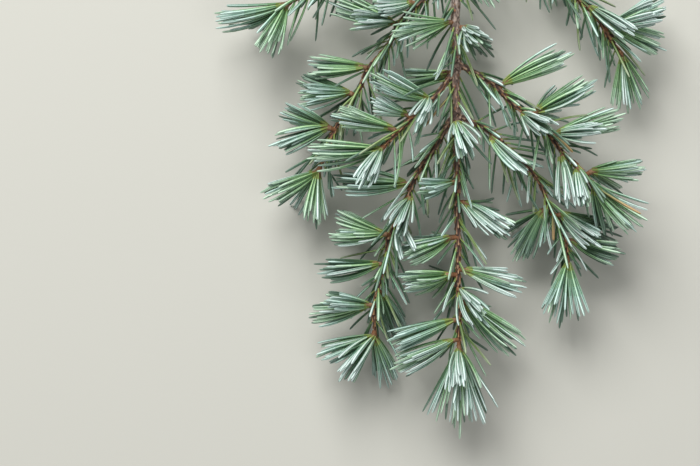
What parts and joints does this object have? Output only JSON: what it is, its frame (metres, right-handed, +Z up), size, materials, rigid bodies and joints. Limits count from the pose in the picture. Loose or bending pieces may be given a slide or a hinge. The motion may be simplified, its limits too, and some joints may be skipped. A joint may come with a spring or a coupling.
{
  "type": "cedar branch",
  "caption": "Cut spray of a blue-green cedar, lying flat: a brown stem with side limbs and tufts of short stiff needles",
  "frame": {"origin": "on the surface that the spray lies on, under the middle of its box", "axes": "+Y along the main stem towards its flat cut end, +X to the right as the picture shows it, +Z up towards the camera"},
  "size_m": [0.1812, 0.2156, 0.0515],
  "materials": {
    "bark": "thin matt bark, grey-brown on the old stem and red-brown on the young shoots",
    "needles": "stiff waxy needles, blue-green with pale bands and tips and a yellow-green base"
  },
  "bodies": {
    "root": {"far_left_needles_1": "needles", "far_left_needles_2": "needles", "far_left_needles_3": "needles", "far_left_needles_4": "needles", "far_left_needles_5": "needles", "far_left_needles_6": "needles", "left_lower_needles_1": "needles", "left_lower_needles_2": "needles", "left_lower_needles_3": "needles", "left_lower_needles_4": "needles", "left_lower_needles_5": "needles", "left_lower_needles_6": "needles", "left_lower_needles_7": "needles", "left_lower_needles_8": "needles", "left_upper_needles_1": "needles", "left_upper_needles_2": "needles", "left_upper_needles_3": "needles", "left_upper_needles_4": "needles", "limb_far_left": "bark", "limb_left_lower": "bark", "limb_left_upper": "bark", "limb_right_lower": "bark", "limb_right_upper": "bark", "limb_top_left": "bark", "limb_top_right": "bark", "main_needles_1": "needles", "main_needles_10": "needles", "main_needles_11": "needles", "main_needles_12": "needles", "main_needles_13": "needles", "main_needles_14": "needles", "main_needles_15": "needles", "main_needles_2": "needles", "main_needles_3": "needles", "main_needles_4": "needles", "main_needles_5": "needles", "main_needles_6": "needles", "main_needles_7": "needles", "main_needles_8": "needles", "main_needles_9": "needles", "main_stem": "bark", "right_lower_needles_1": "needles", "right_lower_needles_2": "needles", "right_lower_needles_3": "needles", "right_lower_needles_4": "needles", "right_lower_needles_5": "needles", "right_upper_needles_1": "needles", "right_upper_needles_2": "needles", "right_upper_needles_3": "needles", "right_upper_needles_4": "needles", "right_upper_needles_5": "needles", "right_upper_needles_6": "needles", "right_upper_needles_7": "needles", "right_upper_needles_8": "needles", "top_left_needles_1": "needles", "top_left_needles_2": "needles", "top_right_needles_1": "needles", "top_right_needles_2": "needles", "top_right_needles_3": "needles", "top_right_needles_4": "needles"}
  },
  "joints": []
}
